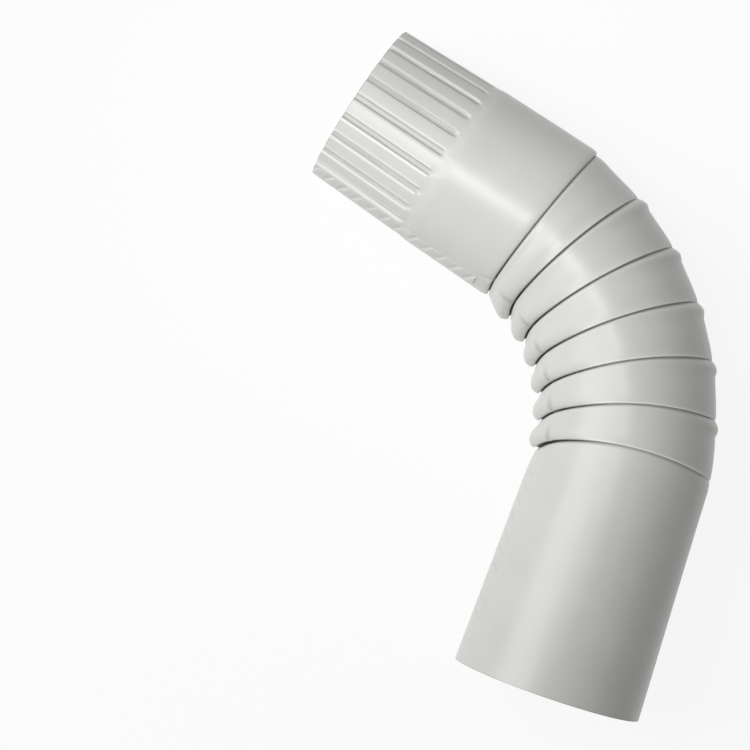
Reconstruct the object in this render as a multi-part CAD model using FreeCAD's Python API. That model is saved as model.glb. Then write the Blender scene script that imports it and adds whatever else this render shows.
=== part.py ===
import FreeCAD, Part
import math
import os

os.makedirs("parts", exist_ok=True)

# Sheet and tube, with radii measured outside
wall = 0.6
body_radius = 50.8

# Bend
bend_angle = 75.0
fold_count = 7
fold_spacing = 24.9

# Plain leg, from its mouth to the first fold
plain_leg_length = 135.0
plain_mouth_radius = 54.4
socket_length = 23.0
plain_neck_length = 22.0

# Crimped leg, from the last fold to its tip
crimped_leg_length = 124.0
crimped_neck_length = 14.0
crimped_leg_radius = 50.2
crimp_tip_radius = 47.6
crimp_root_radius = 49.4

# Crimps
crimp_count = 24
crimp_length = 61.0
crimp_fade = 6.0
crimp_width = 4.4
crimp_floor_width = 1.4
crimp_tip_depth = 1.9
crimp_root_depth = 1.4

# Lock seam, in place of one crimp
seam_angle = 15.0
seam_width = 12.0
seam_crown_width = 9.4
seam_height = 1.0
seam_seat = 0.5

# Rolls of the folds, at the throat, the side and the heel of the bend
throat_swell = 3.6
throat_roll_length = 5.2
throat_roll_drop = 2.4
throat_foot_length = 11.2
throat_foot_drop = 1.4
side_swell = 0.9
side_roll_length = 2.4
side_roll_drop = 0.2
side_foot_length = 13.0
side_foot_drop = 0.6
heel_swell = -2.5
heel_roll_length = 3.0
heel_roll_drop = 0.3
heel_foot_length = 18.0
heel_foot_rise = 0.6

# Roll of the last fold, where the crimped leg runs up to its crease
last_swell = 0.4
last_roll_length = 3.0
last_roll_drop = 1.3
last_foot_length = 6.0
last_foot_drop = 0.1
last_wall_draw = 0.7

# Creases, and the walls that run into them, which rise to a ridge at the heel
throat_wall_start = 1.3
throat_wall_draw = 0.6
throat_crease_depth = 2.2
side_wall_start = 7.5
side_wall_draw = 0.7
side_crease_depth = 1.1
heel_ridge_start = 5.5
heel_ridge_height = 1.6
heel_crease_depth = 1.0
crease_lap = 1.0

# Place inside the lip where the roll closes on itself, in thicknesses of the sheet
roll_closing = 1.7

# Line of each crease round the tube
fold_offset = 0.8
first_fold_bow = 8.9
last_fold_bow = 3.2
last_fold_share = 0.35
throat_dip = 4.5
throat_dip_angle = 24.0

ring_points = 24
turn_per_fold = bend_angle / fold_count
up = FreeCAD.Vector(0, 0, 1)
mouth = FreeCAD.Vector(0, 0, 0)


def heading(angle):
    turn = math.radians(angle)
    return FreeCAD.Vector(-math.sin(turn), math.cos(turn), 0)


def toward_throat(angle):
    turn = math.radians(angle)
    return FreeCAD.Vector(-math.cos(turn), -math.sin(turn), 0)


# Size at one place round a fold, from its sizes at the throat, the side and the heel
def blend(phi, throat, side, heel):
    end = throat if math.cos(phi) > 0 else heel
    return side + (end - side) * math.cos(phi) ** 2


# Outer radius of the plain leg's cone, from the socket's end to its neck
def cone_radius(along):
    share = (plain_neck - along) / (plain_neck - socket_length)
    return body_radius + (plain_mouth_radius - body_radius) * share


def tube_point(place, angle, phi, radius, along, aside=0):
    outward = toward_throat(angle) * math.cos(phi) + up * math.sin(phi)
    around = up * math.cos(phi) - toward_throat(angle) * math.sin(phi)
    return place + outward * radius + around * aside + heading(angle) * along


# Places of the folds, the tip and the ends of the straight lengths
plain_neck = plain_leg_length - plain_neck_length
fold_places = [mouth + heading(0) * plain_leg_length]
for number in range(1, fold_count):
    fold_places.append(fold_places[-1] + heading(number * turn_per_fold) * fold_spacing)
tip = fold_places[-1] + heading(bend_angle) * crimped_leg_length
crimp_end = tip - heading(bend_angle) * crimp_length


# Swell, length and drop of the roll of one fold at one place round the tube, the length
# and drop of the roll's foot, and how far inside its lip the wall before it starts
def roll_sizes(number, phi):
    if number == fold_count - 1:
        roll = last_swell, last_roll_length, last_roll_drop
        return *roll, last_foot_length, last_foot_drop, last_wall_draw
    swell = blend(phi, throat_swell, side_swell, heel_swell)
    length = blend(phi, throat_roll_length, side_roll_length, heel_roll_length)
    drop = blend(phi, throat_roll_drop, side_roll_drop, heel_roll_drop)
    foot_length = blend(phi, throat_foot_length, side_foot_length, heel_foot_length)
    foot_drop = blend(phi, throat_foot_drop, side_foot_drop, -heel_foot_rise)
    wall_draw = blend(phi, throat_wall_draw, side_wall_draw, -heel_ridge_height)
    return swell, length, drop, foot_length, foot_drop, wall_draw


# Section of one fold: the foot and top of its roll, the lip, the crease under the lip
# and the start of the next wall
def fold_outline(number, phi):
    swell, roll_length, roll_drop, foot_length, foot_drop, wall_draw = roll_sizes(number, phi)
    wall_start = blend(phi, throat_wall_start, side_wall_start, heel_ridge_start)
    crease_depth = blend(phi, throat_crease_depth, side_crease_depth, heel_crease_depth)
    roll_radius = body_radius + swell
    lip_radius = roll_radius - roll_drop
    return [
        (roll_radius - foot_drop, foot_length),
        (roll_radius, roll_length),
        (lip_radius, 0),
        (lip_radius - crease_depth, crease_lap),
        (lip_radius - wall_draw, -wall_start),
    ]


# The same section on the inside of the sheet, where the roll closes on itself
def inner_outline(number, phi):
    foot, top, lip, crease, start = fold_outline(number, phi)
    return [
        (foot[0] - wall, foot[1]),
        (lip[0] - wall / 2, lip[1] + roll_closing * wall),
        (crease[0] - wall, crease[1] + wall),
        (start[0] - wall, start[1] - wall / 2),
    ]


# How far the line of one fold runs ahead of its place: it bows forward at the sides and
# dips back at the throat, and the last fold is nearly flat
def fold_line(number, phi):
    bow = first_fold_bow + (last_fold_bow - first_fold_bow) * number / (fold_count - 1)
    from_throat = math.degrees(math.acos(math.cos(phi)))
    dip = throat_dip * math.exp(-(from_throat / throat_dip_angle) ** 2)
    share = last_fold_share if number == fold_count - 1 else 1
    return fold_offset + share * (bow * math.sin(phi) ** 2 - dip)


def fold_ring(number, row, inside):
    angle = (number + 0.5) * turn_per_fold
    points = []
    for step in range(ring_points):
        phi = math.pi + 2 * math.pi * step / ring_points
        outline = inner_outline(number, phi) if inside else fold_outline(number, phi)
        radius, along = outline[row]
        along += fold_line(number, phi)
        points.append(tube_point(fold_places[number], angle, phi, radius, along))
    knots = [step / ring_points for step in range(ring_points + 1)]
    curve = Part.BSplineCurve()
    curve.interpolate(Points=points, PeriodicFlag=True, Parameters=knots)
    return curve.toShape()


def round_ring(place, angle, radius):
    ring = Part.Circle(place, heading(angle), radius)
    ring.XAxis = toward_throat(angle) * -1
    return ring.toShape()


# Rings of one skin of the tube: the socket and cone of the plain leg, the folds of the
# bend, and the crimped leg as far as its crimps
def tube_rings(inside):
    depth = wall if inside else 0
    rings = [round_ring(mouth, 0, plain_mouth_radius - depth)]
    for along in (socket_length, (socket_length + plain_neck) / 2, plain_neck):
        rings.append(round_ring(mouth + heading(0) * along, 0, cone_radius(along) - depth))
    for number in range(fold_count):
        for row in reversed(range(4 if inside else 5)):
            rings.append(fold_ring(number, row, inside))
    neck = fold_places[-1] + heading(bend_angle) * crimped_neck_length
    rings.append(round_ring(neck, bend_angle, body_radius - depth))
    rings.append(round_ring(crimp_end, bend_angle, crimped_leg_radius - depth))
    return rings


def flat_ring(outer, inner):
    return Part.Face(Part.Wire(outer)).cut(Part.Face(Part.Wire(inner))).Faces[0]


def joined(faces):
    shell = Part.makeShell(faces)
    shell.sewShape()
    solid = Part.Solid(shell)
    if solid.Volume < 0:
        solid.reverse()
    return solid


def make_tube():
    outer = tube_rings(False)
    inner = tube_rings(True)
    faces = [Part.makeRuledSurface(a, b) for a, b in zip(outer, outer[1:])]
    faces += [Part.makeRuledSurface(a, b) for a, b in zip(inner[1:], inner[2:])]
    faces += Part.makeLoft([Part.Wire(inner[0]), Part.Wire(inner[1])], False, True).Faces
    faces += [flat_ring([outer[0]], [inner[0]]), flat_ring([outer[-1]], [inner[-1]])]
    return joined(faces)


# One section through the crimps, as arcs on the lands and straight lines in the grooves
def crimp_edges(along, radius, depth, inside):
    radius -= wall if inside else 0
    grow = wall / 2 if inside else 0
    pitch = 2 * math.pi / crimp_count
    edges = []
    for number in range(crimp_count):
        middle = math.radians(seam_angle) + number * pitch
        drop = depth if number > 0 else 0
        side = (crimp_width / 2 + grow) / radius
        floor = (crimp_floor_width / 2 + grow) / radius
        places = [
            (middle - side, radius),
            (middle - floor, radius - drop),
            (middle + floor, radius - drop),
            (middle + side, radius),
            (middle + pitch - side, radius),
        ]
        for (phi_a, r_a), (phi_b, r_b) in zip(places, places[1:]):
            start = tube_point(tip, bend_angle, phi_a, r_a, along)
            end = tube_point(tip, bend_angle, phi_b, r_b, along)
            crown = tube_point(tip, bend_angle, (phi_a + phi_b) / 2, radius, along)
            is_land = r_a == radius and r_b == radius
            curve = Part.Arc(start, crown, end) if is_land else Part.LineSegment(start, end)
            edges.append(curve.toShape())
    return edges


def make_crimps():
    stations = [
        (0, crimp_tip_radius, crimp_tip_depth),
        (crimp_fade - crimp_length, crimp_root_radius, crimp_root_depth),
        (-crimp_length, crimped_leg_radius, 0),
    ]
    skins = []
    faces = []
    for inside in (False, True):
        rings = [crimp_edges(along, radius, depth, inside) for along, radius, depth in stations]
        for ring, following in zip(rings, rings[1:]):
            faces += [Part.makeRuledSurface(a, b) for a, b in zip(ring, following)]
        skins.append(rings)
    faces += [flat_ring(skins[0][0], skins[1][0]), flat_ring(skins[0][-1], skins[1][-1])]
    return joined(faces)


# A raised strip of folded sheet along one leg, through stations of distance and radius
def make_seam(place, angle, stations):
    phi = math.radians(seam_angle)
    wires = []
    for along, radius in stations:
        corners = []
        for reach, width in ((-seam_seat, -seam_width), (seam_height, -seam_crown_width)):
            corners.append(tube_point(place, angle, phi, radius + reach, along, width / 2))
        for reach, width in ((seam_height, seam_crown_width), (-seam_seat, seam_width)):
            corners.append(tube_point(place, angle, phi, radius + reach, along, width / 2))
        wires.append(Part.makePolygon(corners + corners[:1]))
    return Part.makeLoft(wires, True, True)


def make_seams():
    plain = [(socket_length, plain_mouth_radius), (plain_neck, body_radius)]
    crimped = [
        (0, crimp_tip_radius),
        (crimp_fade - crimp_length, crimp_root_radius),
        (-crimp_length, crimped_leg_radius),
        (crimped_neck_length - crimped_leg_length, body_radius),
    ]
    return [make_seam(mouth, 0, plain), make_seam(tip, bend_angle, crimped)]


elbow = make_tube().fuse([make_crimps()] + make_seams())
elbow.Solids[0].exportStep("parts/downspout_elbow.step")
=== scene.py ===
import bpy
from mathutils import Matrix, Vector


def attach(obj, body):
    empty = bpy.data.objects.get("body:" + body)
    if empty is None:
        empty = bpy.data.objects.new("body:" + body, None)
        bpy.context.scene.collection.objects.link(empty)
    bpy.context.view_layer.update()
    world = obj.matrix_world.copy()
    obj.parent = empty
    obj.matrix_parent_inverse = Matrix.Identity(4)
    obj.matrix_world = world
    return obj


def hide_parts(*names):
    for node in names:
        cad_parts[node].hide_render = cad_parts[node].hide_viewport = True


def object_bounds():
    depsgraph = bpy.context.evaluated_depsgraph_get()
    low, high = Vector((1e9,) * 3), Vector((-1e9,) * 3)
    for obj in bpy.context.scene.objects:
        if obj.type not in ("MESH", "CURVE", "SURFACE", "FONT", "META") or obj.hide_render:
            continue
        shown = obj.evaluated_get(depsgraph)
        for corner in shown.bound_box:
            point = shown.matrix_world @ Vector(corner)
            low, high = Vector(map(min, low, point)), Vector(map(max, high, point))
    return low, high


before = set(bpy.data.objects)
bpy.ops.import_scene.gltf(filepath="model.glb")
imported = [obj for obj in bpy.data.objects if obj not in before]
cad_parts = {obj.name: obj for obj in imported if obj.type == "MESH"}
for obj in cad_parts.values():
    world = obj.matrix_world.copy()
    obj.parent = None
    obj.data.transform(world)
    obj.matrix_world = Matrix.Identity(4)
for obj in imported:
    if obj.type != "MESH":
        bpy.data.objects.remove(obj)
cad_box = [list(corner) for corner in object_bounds()]

import math

import bpy
import numpy as np
from mathutils import Matrix, Vector

# Sheet and bend in millimetres and degrees, as in the elbow's source, with outside radii
WALL = 0.6
BODY = 50.8
BEND = 75.0
FOLDS = 7
SPACING = 24.9
TURN = BEND / FOLDS

# Plain leg, with places measured from its mouth, and how far it draws in past its edge
PLAIN_LEG = 135.0
PLAIN_NECK_LENGTH = 22.0
PLAIN_NECK = PLAIN_LEG - PLAIN_NECK_LENGTH
SOCKET = 23.0
MOUTH = 54.4
MOUTH_EDGE = 8.0
LEG_DRAW = 0.2

# Crimped leg, with places measured back from its tip
CRIMPED_LEG = 124.0
CRIMPED_NECK_LENGTH = 14.0
CRIMPED_NECK = CRIMPED_LEG - CRIMPED_NECK_LENGTH
LAST_ROLL_END = 100.0
CRIMPS = 24
PITCH = 360.0 / CRIMPS
CRIMP_LENGTH = 61.0
CRIMP_FADE = 6.0
CRIMP_ROOT = CRIMP_LENGTH - CRIMP_FADE
TIP = 47.6
ROOT = 49.4
LEG_END = 50.2
LAND_RUNOUT = 5.0
LAND_FLARE = 0.2
NECK_FLARE = 0.15

# Lock seam, in place of one crimp, and how far round the tube its strip lies from there
SEAM_ANGLE = 15.0
SEAM_WIDTH = 15.2
SEAM_SLIP = 1.9

# Line of each crease round the tube
FOLD_OFFSET = 0.8
FIRST_BOW = 8.9
LAST_BOW = 3.2
LAST_SHARE = 0.35
DIP = 4.5
DIP_ANGLE = 24.0

# Millimetres in metres, and the angle past which an edge is sharp
MM = 0.001
SHARP_ANGLE = 50.0
UP = np.array((0.0, 0.0, 1.0))


def heading(angle):
    turn = math.radians(angle)
    return np.array((-math.sin(turn), math.cos(turn), 0.0))


def toward_throat(angle):
    turn = math.radians(angle)
    return np.array((-math.cos(turn), -math.sin(turn), 0.0))


mouth = np.zeros(3)
places = [mouth + heading(0) * PLAIN_LEG]
for number in range(1, FOLDS):
    places.append(places[-1] + heading(number * TURN) * SPACING)
tip = places[-1] + heading(BEND) * CRIMPED_LEG

# Angles round the tube from the throat, closer together across each crimp
HALF_CRIMP = (0.6, 1.25, 1.6, 1.95, 2.3, 2.75, 4.5)
CRIMP_COLUMNS = (-PITCH / 2, *[-d for d in reversed(HALF_CRIMP)], 0.0, *HALF_CRIMP)
phi_degrees = np.array([SEAM_ANGLE + PITCH * k + d for k in range(CRIMPS) for d in CRIMP_COLUMNS])
phi = np.radians(phi_degrees)
from_throat = np.degrees(np.arccos(np.cos(phi)))
end_share = np.cos(phi) ** 2
at_throat = np.cos(phi) > 0

# Share of painted shade, rim darkening and painted highlight on a ring that has none
unmarked = np.zeros_like(phi)


def rise(x, start, end):
    """Nothing before the start and one past the end, with a smooth step between."""
    t = np.clip((x - start) / (end - start), 0.0, 1.0)
    return t * t * (3 - 2 * t)


def hump(x, middle, width):
    """One at the middle, fading smoothly to nothing on both sides."""
    return np.exp(-(((x - middle) / width) ** 2))


def blend(throat, side, heel):
    """Size round the tube, from its sizes at the throat, the side and the heel."""
    return side + (np.where(at_throat, throat, heel) - side) * end_share


def outward(angle):
    return np.outer(np.cos(phi), toward_throat(angle)) + np.outer(np.sin(phi), UP)


def ring(place, angle, radius, along):
    radius = np.broadcast_to(radius, phi.shape)
    along = np.broadcast_to(along, phi.shape)
    return place + outward(angle) * radius[:, None] + along[:, None] * heading(angle)


def spline(rings, counts):
    """Rings along a smooth curve through the given rings, so many for each step of it."""
    steps = [b - a for a, b in zip(rings, rings[1:])]
    lengths = [np.linalg.norm(step, axis=1)[:, None] for step in steps]
    straight = [step / length for step, length in zip(steps, lengths)]
    slopes = [straight[0]]
    for i in range(1, len(steps)):
        before, after = lengths[i - 1], lengths[i]
        slopes.append((straight[i - 1] * after + straight[i] * before) / (before + after))
    slopes.append(straight[-1])
    out = [rings[0]]
    for i, count in enumerate(counts):
        for k in range(1, count + 1):
            t = k / count
            share = 2 * t**3 - 3 * t**2 + 1
            pull = (t**3 - 2 * t**2 + t) * slopes[i] + (t**3 - t**2) * slopes[i + 1]
            out.append(share * rings[i] + (1 - share) * rings[i + 1] + pull * lengths[i])
    return out


# Section of a fold: for each row, the radius over the body and the distance ahead of the
# crease's line, at the throat, the side and the heel
BEFORE = {
    "band": ((0.3, -2.6), (0.1, -6.0), (-1.6, -9.5)),
    "ridge": ((0.0, -1.4), (0.05, -3.5), (-0.45, -5.6)),
    "slope": ((-0.4, -0.9), (-0.1, -1.3), (-0.95, -3.7)),
    "dive": ((-1.3, -0.5), (-1.0, -0.6), (-2.4, -1.1)),
    "crease": ((-2.9, 0.9), (-2.4, 0.8), (-3.4, 0.1)),
}
AFTER = {
    "under": ((-0.6, 0.9), (-0.8, 0.7), (-3.1, 0.5)),
    "lip": ((0.3, 0.15), (0.6, 0.1), (-2.75, 1.0)),
    "edge": ((1.7, 0.8), (1.15, 0.6), (-2.5, 1.9)),
    "top": ((3.3, 3.2), (0.8, 2.3), (-2.3, 3.6)),
    "foot": ((1.8, 10.4), (0.6, 10.0), (-1.9, 18.0)),
}

# The plain leg tucks under the first fold, and the crimped leg runs up to the last
BEFORE_FIRST = {
    "band": ((-0.5, -5.0), (-0.2, -6.0), (-0.4, -9.5)),
    "ridge": ((-0.9, -2.8), (-0.25, -3.5), (-0.5, -6.0)),
    "slope": ((-1.4, -1.3), (-0.35, -1.6), (-0.8, -4.0)),
    "dive": ((-2.2, -0.5), (-1.1, -0.6), (-1.3, -1.2)),
    "crease": ((-3.6, 0.9), (-2.4, 0.8), (-1.9, 0.1)),
}
AFTER_FIRST = {
    "under": ((-0.6, 0.9), (-0.8, 0.7), (-1.6, 0.5)),
    "lip": ((0.3, 0.15), (0.6, 0.1), (-1.3, 1.0)),
    "edge": ((1.7, 0.8), (1.15, 0.6), (-1.1, 1.9)),
    "top": ((3.3, 3.2), (0.8, 2.3), (-1.0, 3.6)),
    "foot": ((1.8, 10.4), (0.6, 10.0), (-1.2, 18.0)),
}
BEFORE_LAST = {
    "band": ((-0.2, -2.6), (-0.3, -5.0), (-1.4, -9.5)),
    "ridge": ((-0.5, -1.4), (-0.4, -3.5), (-1.3, -6.0)),
    "slope": ((-0.9, -0.8), (-0.55, -1.6), (-1.4, -3.0)),
    "dive": ((-1.8, -0.5), (-1.5, -0.6), (-1.9, -0.8)),
    "crease": ((-3.2, 0.9), (-2.8, 0.8), (-3.0, 0.7)),
}
AFTER_LAST = {
    "under": ((-1.8, 0.8), (-1.6, 0.7), (-1.9, 0.7)),
    "lip": ((-0.8, 0.15), (-0.5, 0.1), (-0.9, 0.2)),
    "edge": ((0.05, 1.0), (0.0, 0.65), (-0.2, 0.8)),
    "top": ((0.45, 3.2), (0.2, 2.4), (0.2, 3.0)),
    "foot": ((0.35, 8.0), (0.2, 8.0), (0.2, 8.0)),
}

# Small pucker in the sheet where a fold runs round to the throat
PUCKER_ANGLE = 31.0
PUCKER_WIDTH = 2.0
PUCKER_DEPTH = 0.9
PUCKER_START = -1.0
PUCKER_END = 7.0
PUCKER_FADE = 4.0
pucker_share = hump(from_throat, PUCKER_ANGLE, PUCKER_WIDTH)


def pucker(along):
    """Depth of the pucker, at distances ahead of the crease's line."""
    starts = rise(along, PUCKER_START, 0.0)
    ends = rise(along, PUCKER_END, PUCKER_END - PUCKER_FADE)
    return PUCKER_DEPTH * pucker_share * starts * ends


def fold_line(number):
    """How far the crease of one fold runs ahead of its place, round the tube."""
    bow = FIRST_BOW + (LAST_BOW - FIRST_BOW) * number / (FOLDS - 1)
    dip = DIP * hump(from_throat, 0.0, DIP_ANGLE)
    share = LAST_SHARE if number == FOLDS - 1 else 1.0
    return FOLD_OFFSET + share * (bow * np.sin(phi) ** 2 - dip)


def fold_tables(number):
    """Sections of one fold before and after its crease."""
    if number == 0:
        return BEFORE_FIRST, AFTER_FIRST
    if number == FOLDS - 1:
        return BEFORE_LAST, AFTER_LAST
    return BEFORE, AFTER


def fold_rows(number, depth):
    """Rings of one fold, some depth inside the sheet, set off from its crease's line."""
    line = ring(places[number], (number + 0.5) * TURN, BODY, fold_line(number))
    before, after = fold_tables(number)
    rows = {}
    for table, angle in ((before, number * TURN), (after, (number + 1) * TURN)):
        for name, section in table.items():
            reach, along = [blend(*sizes) for sizes in zip(*section)]
            reach = reach - pucker(along) - depth
            # From the crease on, the inside of the sheet also lies further along
            if name == "crease" or table is after:
                along = along + depth
            rows[name] = line + outward(angle) * reach[:, None] + along[:, None] * heading(angle)
    return rows


def plain_radius(along):
    """Outside radius of the plain leg, at a distance from its mouth."""
    radii = (MOUTH, MOUTH - LEG_DRAW, BODY - LEG_DRAW)
    return np.interp(along, (0.0, MOUTH_EDGE, PLAIN_NECK), radii)


def land_radius(back):
    """Radius over the lands between the crimps, at a distance back from the tip."""
    stations = (0.0, CRIMP_ROOT, CRIMP_LENGTH + LAND_RUNOUT)
    return np.interp(back, stations, (TIP, ROOT, ROOT + LAND_FLARE))


def neck_radius(back):
    """Radius of the crimped leg where it is round, at a distance back from the tip."""
    return np.interp(back, (CRIMP_LENGTH, CRIMPED_NECK), (LEG_END, BODY + NECK_FLARE))


def crimped_radius(back, neck):
    """Radius from the lands to the round neck, by the neck's share."""
    return land_radius(back) * (1 - neck) + neck_radius(back) * neck


# Grooves of the crimps, with distances round the tube measured from each one's middle
GROOVE_TIP_DEPTH = 1.9
GROOVE_ROOT_DEPTH = 1.4
GROOVE_FLOOR = 1.05
GROOVE_EDGE = 2.2
GROOVE_END = 58.6
GROOVE_END_ROUND = 1.6
GROOVE_END_FADE = 1.3
BEAD_PLACE = 2.5
BEAD_WIDTH = 0.5
BEAD_HEIGHT = 0.14

# Lands between the grooves, and the shoulder where they run up to the round neck
LAND_START = 1.6
LAND_WIDTH = 10.0
LAND_CROWN = 0.22
SHOULDER_GAP = 0.5
SHOULDER_BOW = 2.5
SHOULDER_SHAPE = 1.2
SHOULDER_REACH = 4.0

# For each angle: whether a crimp is there and not the seam, how far it is from the middle
# of the crimp, and that distance round the tube
at_crimp = np.abs((phi_degrees - SEAM_ANGLE + 180) % 360 - 180) >= PITCH / 2
off_crimp = np.abs((phi_degrees - SEAM_ANGLE + PITCH / 2) % PITCH - PITCH / 2)
crimp_reach = np.radians(off_crimp) * BODY


def past_shoulder(back):
    """Share of the round neck in the radius, past a shoulder further back over the lands."""
    bow = np.sin(math.pi / 2 * np.clip(off_crimp / (PITCH / 2), 0, 1)) ** SHOULDER_SHAPE
    middle = CRIMP_LENGTH + SHOULDER_GAP + SHOULDER_BOW * bow
    return rise(back, middle - SHOULDER_REACH, middle + SHOULDER_REACH)


def along_groove(back):
    """One along the grooves, and nothing past their rounded ends or at the seam."""
    end = GROOVE_END - GROOVE_END_ROUND * np.clip(crimp_reach / GROOVE_EDGE, 0, 1) ** 2
    return at_crimp * rise(back, end + GROOVE_END_FADE, end - GROOVE_END_FADE)


def crimp_radius(back, depth):
    """Radius round the crimps, some depth inside the sheet, and the share of a groove there."""
    neck = past_shoulder(back)
    land = np.clip((crimp_reach - LAND_START) / LAND_WIDTH, 0, 1)
    crown = LAND_CROWN * np.sin(math.pi * land) * (1 - neck)
    along = along_groove(back)
    bead = BEAD_HEIGHT * hump(crimp_reach, BEAD_PLACE, BEAD_WIDTH) * along
    groove = rise(crimp_reach, GROOVE_EDGE, GROOVE_FLOOR) * along
    deepest = np.interp(back, (0.0, CRIMP_ROOT), (GROOVE_TIP_DEPTH, GROOVE_ROOT_DEPTH))
    radius = crimped_radius(back, neck) + crown + bead - deepest * groove - depth
    return radius, groove


# Rings that the smooth curve makes for each step from row to row of a fold
WALL_STEPS = (2, 3, 2, 2)
ROLL_STEPS = (3, 4, 2)
INNER_ROLL_STEPS = (1, 2, 1)
NECK_STEPS = (3,)

# Painted shade on the rings from a fold's band to its lip, painted shade in the pucker on the
# rings of its roll, and a painted highlight on all of them, which is at the lip
CREASE_SHADE = (0, 0, 0, 0, 0, 0.15, 0.6, 1, 1, 1, 0.2)
PUCKER_SHADE = (0.2, 0.4, 0.4, 0.3, 0.3, 0.2, 0.1, 0, 0, 0)
LIP_HIGHLIGHT = (0,) * 10 + (0.6, 1, 0.2) + (0,) * 8

# How much each fold's painted crease shade fades round the side, and how strong its lip's painted
# highlight is there
FOLD_SHADE_FADE = (0.85, 0.8, 0.6, 0.2, 0.0, 0.0, 0.0)
FOLD_LIP_HIGHLIGHT = (1.0, 0.9, 0.8, 0.55, 0.5, 0.3, 0.0)

# Angles from the throat at which the painted shade and the painted highlight start and stop
# changing
SHADE_FADE_FROM = (50.0, 80.0)
HIGHLIGHT_FROM = (50.0, 75.0)
HIGHLIGHT_TO = (140.0, 165.0)
THROAT_TO_SIDE = (30.0, 90.0)
SIDE_TO_HEEL = (100.0, 160.0)
SIDE_FADE = 0.4
HEEL_FADE = 0.45
shade_fade_side = rise(from_throat, *SHADE_FADE_FROM)
highlight_side = rise(from_throat, *HIGHLIGHT_FROM) * (1 - rise(from_throat, *HIGHLIGHT_TO))
shade_left = 1 - SIDE_FADE * rise(from_throat, *THROAT_TO_SIDE)
shade_left = shade_left - HEEL_FADE * rise(from_throat, *SIDE_TO_HEEL)

# Painted shade in the crimps, darker rims, and a painted highlight along the edges of the grooves
GROOVE_SHADE = 0.22
RIM_DARKENING = 0.5
GROOVE_HIGHLIGHT = 0.8
GROOVE_HIGHLIGHT_TO = (75.0, 87.0)
HIGHLIGHT_PLACE = 2.4
HIGHLIGHT_WIDTH = 0.4
HIGHLIGHT_LENGTH = 57.0
edge_highlight = GROOVE_HIGHLIGHT * hump(crimp_reach, HIGHLIGHT_PLACE, HIGHLIGHT_WIDTH) * at_crimp
edge_highlight = edge_highlight * (1 - rise(from_throat, *GROOVE_HIGHLIGHT_TO))

# Rings along the legs, closer together at the ends of the crimps
PLAIN_STATIONS = (0, 0.6, MOUTH_EDGE, 20, 35, 52, 70, 90)
CRIMPED_STATIONS = (
    84, 72, 68, 66.6, 65.4, 64.2, 63.1, 62, 60.9, 59.8, 58.9,
    58.1, 57.3, 56.5, 55.6, 54.5, 50, 38, 24, 10, 0.6, 0,
)


def plain_rings(depth):
    """Rings from the mouth to the band before the first fold."""
    rings = [ring(mouth, 0, plain_radius(y) - depth, y) for y in PLAIN_STATIONS]
    neck = ring(mouth, 0, plain_radius(PLAIN_NECK) - depth, PLAIN_NECK)
    return rings + spline([neck, fold_rows(0, depth)["band"]], NECK_STEPS)


def roll_path(number, rows, depth):
    """Rings that a fold's roll runs through, as far as the next fold or the crimped leg."""
    if number < FOLDS - 1:
        following = fold_rows(number + 1, depth)["band"]
    else:
        following = ring(tip, BEND, neck_radius(LAST_ROLL_END) - depth, -LAST_ROLL_END)
    return [rows["edge"], rows["top"], rows["foot"], following]


def fold_skin(number):
    """Outer rings of one fold, each with its painted shade and painted highlight."""
    rows = fold_rows(number, 0.0)
    wall = spline([rows[k] for k in BEFORE], WALL_STEPS)
    roll = spline(roll_path(number, rows, 0.0), ROLL_STEPS)
    rings = wall[1:] + [rows["under"], rows["lip"]] + roll
    # Painted shade in the crease, darkest at the throat and fading round the side and the heel
    crease_shade = shade_left * (1 - FOLD_SHADE_FADE[number] * shade_fade_side)
    puckered = pucker_share * (number < FOLDS - 1)
    # Painted highlight along the lip, on the side of the tube
    highlit = FOLD_LIP_HIGHLIGHT[number] * highlight_side
    painted_shade_and_rim = [share * crease_shade for share in CREASE_SHADE] + [share * puckered for share in PUCKER_SHADE]
    painted_highlight = [share * highlit for share in LIP_HIGHLIGHT]
    return list(zip(rings, painted_shade_and_rim, painted_highlight, strict=True))


def outer_skin():
    """Outer rings from the mouth to the tip, each with its painted shade, rim darkening and
    painted highlight.
    """
    rim, *rest = plain_rings(0.0)
    rows = [(rim, unmarked + RIM_DARKENING, unmarked)]
    rows += [(points, unmarked, unmarked) for points in rest]
    for number in range(FOLDS):
        rows += fold_skin(number)
    for back in CRIMPED_STATIONS:
        radius, groove = crimp_radius(back, 0.0)
        # Painted shade in the grooves and a darker rim at the tip, with a painted highlight along
        # the groove edges
        painted_shade_and_rim = GROOVE_SHADE * groove + RIM_DARKENING * (back == 0)
        rows.append((ring(tip, BEND, radius, -back), painted_shade_and_rim, edge_highlight * (back < HIGHLIGHT_LENGTH)))
    return zip(*rows)


def inner_skin():
    """Inner rings from the mouth to the tip, which need less detail."""
    rings = plain_rings(WALL)
    for number in range(FOLDS):
        rows = fold_rows(number, WALL)
        rings += [rows["slope"], rows["crease"]]
        rings += spline(roll_path(number, rows, WALL), INNER_ROLL_STEPS)
    for back in CRIMPED_STATIONS[1::2]:
        rings.append(ring(tip, BEND, crimp_radius(back, WALL)[0], -back))
    return rings


def mesh_of(name, points, faces):
    mesh = bpy.data.meshes.new(name)
    mesh.from_pydata([tuple(p) for p in points * MM], [], faces)
    mesh.validate()
    thing = bpy.data.objects.new(name, mesh)
    bpy.context.scene.collection.objects.link(thing)
    mesh.shade_smooth()
    mesh.set_sharp_from_angle(angle=math.radians(SHARP_ANGLE))
    return thing


def set_share(thing, name, shares):
    thing.data.attributes.new(name, "FLOAT", "POINT").data.foreach_set("value", shares)


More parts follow.
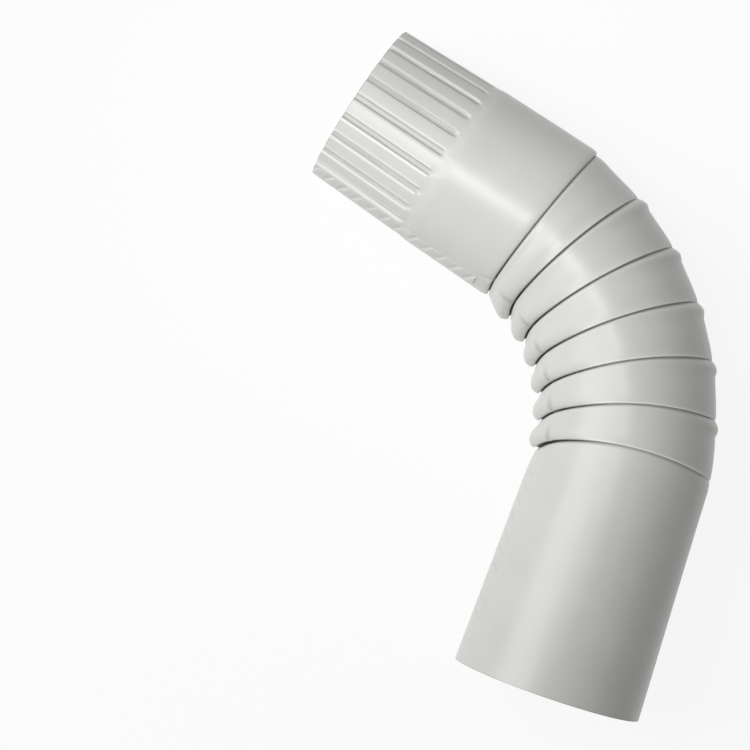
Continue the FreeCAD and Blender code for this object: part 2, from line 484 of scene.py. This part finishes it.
def make_sheet():
    """The folded sheet as one closed mesh, out along its outside and back along its inside."""
    outer, painted_shade_and_rim, painted_highlight = outer_skin()
    inner = inner_skin()
    loops = [*outer, *reversed(inner)]
    count = len(phi)
    faces = []
    for row in range(len(loops)):
        here = row * count
        there = (row + 1) % len(loops) * count
        for i in range(count):
            j = (i + 1) % count
            faces.append((here + i, here + j, there + j, there + i))
    thing = mesh_of("elbow_sheet", np.concatenate(loops), faces)
    inside = [unmarked] * len(inner)
    set_share(thing, "painted_shade_and_rim", np.concatenate([*painted_shade_and_rim, *inside]))
    set_share(thing, "painted_highlight", np.concatenate([*painted_highlight, *inside]))
    return thing


# Strips of the seams, with heights over the leg that each lies on
STRIP_COLUMNS = 17
STRIP_SQUARENESS = 4
STRIP_EDGE = -0.35
STRIP_UNDER = -0.45
CRIMPED_STRIP_TOP = 0.65
CRIMPED_STRIP_STEP = 0.6
PLAIN_STRIP_TOP = 0.6
PLAIN_STRIP_STEP = 0.8

# Slanted pads pressed into the strips, which are fainter on the plain leg
PAD_LENGTH = 9.6
PAD_SLANT = 0.4
PAD_TILT = 0.5
PAD_GAP_WIDTH = 0.9
PAD_GAP_DEPTH = 1.0
# Painted shade in the gaps between the pads
PAD_SHADE = 0.35
PAD_SHADE_OFFSET = 0.1
PLAIN_PAD_SHARE = 0.5


def pads(along, aside):
    """Height of the slanted pads, with narrow gaps between them."""
    phase = ((along + aside * PAD_SLANT) / PAD_LENGTH) % 1.0
    from_gap = min(phase, 1 - phase) * PAD_LENGTH
    return PAD_TILT * (phase - 0.5) - PAD_GAP_DEPTH * hump(from_gap, 0.0, PAD_GAP_WIDTH)


def strip_point(place, angle, radius, along, aside, height):
    at = math.radians(SEAM_ANGLE) + (aside + SEAM_SLIP) / radius
    away = toward_throat(angle) * math.cos(at) + UP * math.sin(at)
    return place + away * (radius + height) + heading(angle) * along


def make_strip(name, place, angle, stations, radius_at, top, pad_share):
    """A closed strip of folded sheet lying along one leg."""
    points, faces, painted_shade_and_rim = [], [], []
    for along in stations:
        leg = (place, angle, radius_at(along), along)
        for across in np.linspace(-1.0, 1.0, STRIP_COLUMNS):
            aside = across * SEAM_WIDTH / 2
            dent = pad_share * pads(along, aside)
            crown = (1 - abs(across) ** STRIP_SQUARENESS) ** 0.5
            height = STRIP_EDGE + (top + dent - STRIP_EDGE) * crown
            points.append(strip_point(*leg, aside, height))
            # Painted shade in the gaps between the pads
            painted_shade_and_rim.append(max(0.0, -PAD_SHADE * dent - PAD_SHADE_OFFSET))
        for aside in (SEAM_WIDTH / 2, -SEAM_WIDTH / 2):
            points.append(strip_point(*leg, aside, STRIP_UNDER))
            painted_shade_and_rim.append(0.0)
    row = STRIP_COLUMNS + 2
    for s in range(len(stations) - 1):
        for c in range(row):
            d = (c + 1) % row
            faces.append((s * row + c, (s + 1) * row + c, (s + 1) * row + d, s * row + d))
    faces.append(tuple(range(row)))
    faces.append(tuple((len(stations) - 1) * row + c for c in reversed(range(row))))
    thing = mesh_of(name, np.array(points), faces)
    set_share(thing, "painted_shade_and_rim", painted_shade_and_rim)
    return thing


def crimped_seam_radius(along):
    """Radius of the crimped leg under its seam, at a distance along the leg from the tip."""
    return crimped_radius(-along, rise(-along, CRIMP_LENGTH, CRIMP_LENGTH + LAND_RUNOUT))


def stations_along(start, end, step):
    return np.linspace(start, end, int(abs(end - start) / step) + 1)


def crimped_leg_seam():
    stations = stations_along(0.0, -CRIMPED_NECK, CRIMPED_STRIP_STEP)
    leg = (tip, BEND, stations, crimped_seam_radius)
    return make_strip("seam_crimped_leg", *leg, CRIMPED_STRIP_TOP, 1.0)


def plain_leg_seam():
    stations = stations_along(PLAIN_NECK, SOCKET, PLAIN_STRIP_STEP)
    leg = (mouth, 0, stations, plain_radius)
    return make_strip("seam_plain_leg", *leg, PLAIN_STRIP_TOP, PLAIN_PAD_SHARE)


# Paint, with painted shade in its creases, grooves and pad gaps, darker rims, a painted highlight
# along lips and groove edges, its faint mottle and orange peel
PAINT = (0.63, 0.635, 0.605)
SHADE_AND_RIM_COLOUR = (0.14, 0.14, 0.125)
HIGHLIGHT_COLOUR = (0.88, 0.885, 0.86)
MOTTLE_SHADE = 0.955
MOTTLE_RANGE = (0.35, 0.65)
MOTTLE_SCALE = 28.0
MOTTLE_DETAIL = 4.0
PEEL_SCALE = 900.0
PEEL_DETAIL = 2.0
PEEL_STRENGTH = 0.05
PEEL_DEPTH = 0.0004
ROUGHNESS = (0.28, 0.39)

# Colour sockets of Blender's Mix node, which have the same names as its other sockets
MIX_FROM = 6
MIX_TO = 7
MIX_RESULT = 2


def noise(nodes, links, place, scale, detail):
    texture = nodes.new("ShaderNodeTexNoise")
    texture.inputs["Scale"].default_value = scale
    texture.inputs["Detail"].default_value = detail
    links.new(place, texture.inputs["Vector"])
    return texture.outputs["Fac"]


def mixed(nodes, links, base, colour, attribute):
    """A base colour, mixed toward another by a share that the mesh holds."""
    share = nodes.new("ShaderNodeAttribute")
    share.attribute_name = attribute
    mix = nodes.new("ShaderNodeMix")
    mix.data_type = "RGBA"
    mix.inputs[MIX_TO].default_value = (*colour, 1)
    links.new(share.outputs["Fac"], mix.inputs["Factor"])
    links.new(base, mix.inputs[MIX_FROM])
    return mix.outputs[MIX_RESULT]


def paint():
    """Semi-gloss paint on sheet metal: a faint mottle, painted shade and a painted highlight from
    the mesh, orange peel and slow roughness changes.
    """
    material = bpy.data.materials.new("warm_grey_paint")
    material.use_nodes = True
    nodes, links = material.node_tree.nodes, material.node_tree.links
    shader = nodes["Principled BSDF"]
    shader.inputs["IOR"].default_value = 1.5
    place = nodes.new("ShaderNodeTexCoord").outputs["Object"]
    mottle = noise(nodes, links, place, MOTTLE_SCALE, MOTTLE_DETAIL)
    tint = nodes.new("ShaderNodeValToRGB")
    darker, lighter = tint.color_ramp.elements
    darker.position, lighter.position = MOTTLE_RANGE
    darker.color = (*[c * MOTTLE_SHADE for c in PAINT], 1)
    lighter.color = (*PAINT, 1)
    links.new(mottle, tint.inputs["Fac"])
    # Painted shade and rim darkening from the mesh, then a painted highlight
    shaded = mixed(nodes, links, tint.outputs["Color"], SHADE_AND_RIM_COLOUR, "painted_shade_and_rim")
    highlit = mixed(nodes, links, shaded, HIGHLIGHT_COLOUR, "painted_highlight")
    links.new(highlit, shader.inputs["Base Color"])
    gloss = nodes.new("ShaderNodeMapRange")
    gloss.inputs["To Min"].default_value, gloss.inputs["To Max"].default_value = ROUGHNESS
    links.new(mottle, gloss.inputs["Value"])
    links.new(gloss.outputs["Result"], shader.inputs["Roughness"])
    peel = noise(nodes, links, place, PEEL_SCALE, PEEL_DETAIL)
    bump = nodes.new("ShaderNodeBump")
    bump.inputs["Strength"].default_value = PEEL_STRENGTH
    bump.inputs["Distance"].default_value = PEEL_DEPTH
    links.new(peel, bump.inputs["Height"])
    links.new(bump.outputs["Normal"], shader.inputs["Normal"])
    return material


def ways_seen(nodes, links):
    """One for rays from the camera, from glossy surfaces and through clear ones."""
    path = nodes.new("ShaderNodeLightPath")
    total = path.outputs["Is Camera Ray"]
    for way in ("Is Glossy Ray", "Is Transmission Ray"):
        either = nodes.new("ShaderNodeMath")
        either.operation = "MAXIMUM"
        links.new(total, either.inputs[0])
        links.new(path.outputs[way], either.inputs[1])
        total = either.outputs["Value"]
    return total


# Floor in metres, just under the elbow as it lies: pale, and mostly white to the camera
FLOOR_REACH = 4.0
FLOOR_GAP = 0.0002
FLOOR_COLOUR = (0.85, 0.85, 0.85)
FLOOR_WHITE = 0.89


def floor_paint():
    material = bpy.data.materials.new("floor_white")
    material.use_nodes = True
    nodes, links = material.node_tree.nodes, material.node_tree.links
    shader = nodes["Principled BSDF"]
    shader.inputs["Base Color"].default_value = (*FLOOR_COLOUR, 1)
    shader.inputs["Roughness"].default_value = 0.9
    shader.inputs["Specular IOR Level"].default_value = 0.0
    glow = nodes.new("ShaderNodeEmission")
    glow.inputs["Strength"].default_value = 1.0
    seen = nodes.new("ShaderNodeMath")
    seen.operation = "MULTIPLY"
    seen.inputs[1].default_value = FLOOR_WHITE
    links.new(ways_seen(nodes, links), seen.inputs[0])
    mix = nodes.new("ShaderNodeMixShader")
    links.new(seen.outputs["Value"], mix.inputs["Fac"])
    links.new(shader.outputs["BSDF"], mix.inputs[1])
    links.new(glow.outputs["Emission"], mix.inputs[2])
    links.new(mix.outputs["Shader"], nodes["Material Output"].inputs["Surface"])
    return material


def make_floor():
    ends = (-FLOOR_REACH, FLOOR_REACH)
    lowest = cad_box[0][2] - FLOOR_GAP
    corners = [(x, y, lowest) for x in ends for y in ends]
    mesh = bpy.data.meshes.new("floor")
    mesh.from_pydata(corners, [], [(0, 2, 3, 1)])
    mesh.materials.append(floor_paint())
    floor = bpy.data.objects.new("floor", mesh)
    bpy.context.scene.collection.objects.link(floor)


# World: a dim even sky, white to the camera
SKY_STRENGTH = 0.22


def make_world():
    world = bpy.data.worlds.new("studio")
    bpy.context.scene.world = world
    world.use_nodes = True
    nodes, links = world.node_tree.nodes, world.node_tree.links
    sky = nodes["Background"]
    white = nodes.new("ShaderNodeBackground")
    for background, strength in ((sky, SKY_STRENGTH), (white, 1.0)):
        background.inputs["Color"].default_value = (1, 1, 1, 1)
        background.inputs["Strength"].default_value = strength
    mix = nodes.new("ShaderNodeMixShader")
    links.new(ways_seen(nodes, links), mix.inputs["Fac"])
    links.new(sky.outputs["Background"], mix.inputs[1])
    links.new(white.outputs["Background"], mix.inputs[2])
    links.new(mix.outputs["Shader"], nodes["World Output"].inputs["Surface"])


# View: almost straight down on the bend's plane from a height in metres, turned so that
# the plain leg points down and left
FRAME = 750
PX_PER_MM = 1.768
VIEW_TURN = math.radians(18.7)
VIEW_HEIGHT = 1.8
VIEW_END = 50.0
SENSOR = 36.0

# Places in pixels of the frame
MOUTH_PX = (546.5, 688.0)
EYE_PX = (517, 378)
ELBOW_PX = (470, 330)
CRIMPED_LEG_PX = (445, 160)
SPOT_PX = (195, 325)


def from_image(x, y, z=0.0):
    """Place in metres that shows at a pixel of the frame, at a height over the bend's plane."""
    u = (x - MOUTH_PX[0]) / PX_PER_MM * MM
    v = (MOUTH_PX[1] - y) / PX_PER_MM * MM
    cosine, sine = math.cos(VIEW_TURN), math.sin(VIEW_TURN)
    return Vector((u * cosine - v * sine, u * sine + v * cosine, z))


def make_camera():
    data = bpy.data.cameras.new("camera")
    camera = bpy.data.objects.new("camera", data)
    bpy.context.scene.collection.objects.link(camera)
    bpy.context.scene.camera = camera
    eye = from_image(*EYE_PX, VIEW_HEIGHT)
    aim = from_image(FRAME / 2, FRAME / 2)
    forward = (aim - eye).normalized()
    image_up = Vector((-math.sin(VIEW_TURN), math.cos(VIEW_TURN), 0))
    right = forward.cross(image_up).normalized()
    above = right.cross(forward)
    turned = Matrix((right, above, -forward)).transposed().to_4x4()
    camera.matrix_world = Matrix.Translation(eye) @ turned
    data.sensor_width = SENSOR
    data.lens = SENSOR * (aim - eye).length / (FRAME / PX_PER_MM * MM)
    data.clip_end = VIEW_END


# Key lamp in metres: a soft square, 40 degrees off the view, to the left and a little up
KEY_SIZE = 1.8
KEY_POWER = 40.0
KEY_REACH = 2.2
KEY_TILT = math.radians(40)
KEY_SIDE = math.radians(161.6)

# Soft spot lamp in metres, aimed at the crimped leg
SPOT_POWER = 17.5
SPOT_ANGLE = math.radians(24)
SPOT_SOFTNESS = 0.12
SPOT_HEIGHT = 1.2


def hang(data, place, target):
    """Put a lamp at one place, aimed at another."""
    lamp = bpy.data.objects.new(data.name, data)
    bpy.context.scene.collection.objects.link(lamp)
    lamp.location = place
    lamp.rotation_mode = "QUATERNION"
    lamp.rotation_quaternion = (target - place).to_track_quat("-Z", "Y")


def make_key_lamp():
    data = bpy.data.lights.new("key", "AREA")
    data.shape = "SQUARE"
    data.size = KEY_SIZE
    data.energy = KEY_POWER
    offset = KEY_REACH * math.sin(KEY_TILT) / MM * PX_PER_MM
    x = ELBOW_PX[0] + offset * math.cos(KEY_SIDE)
    y = ELBOW_PX[1] - offset * math.sin(KEY_SIDE)
    hang(data, from_image(x, y, KEY_REACH * math.cos(KEY_TILT)), from_image(*ELBOW_PX))


def make_spot_lamp():
    data = bpy.data.lights.new("spot", "SPOT")
    data.energy = SPOT_POWER
    data.spot_size = SPOT_ANGLE
    data.spot_blend = 1.0
    data.shadow_soft_size = SPOT_SOFTNESS
    hang(data, from_image(*SPOT_PX, SPOT_HEIGHT), from_image(*CRIMPED_LEG_PX))


coat = paint()
sheet = make_sheet()
for piece in (sheet, crimped_leg_seam(), plain_leg_seam()):
    piece.data.materials.append(coat)
    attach(piece, "root")
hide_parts("downspout_elbow")

make_floor()
make_world()
make_camera()
make_key_lamp()
make_spot_lamp()
bpy.context.scene.view_settings.view_transform = "Standard"
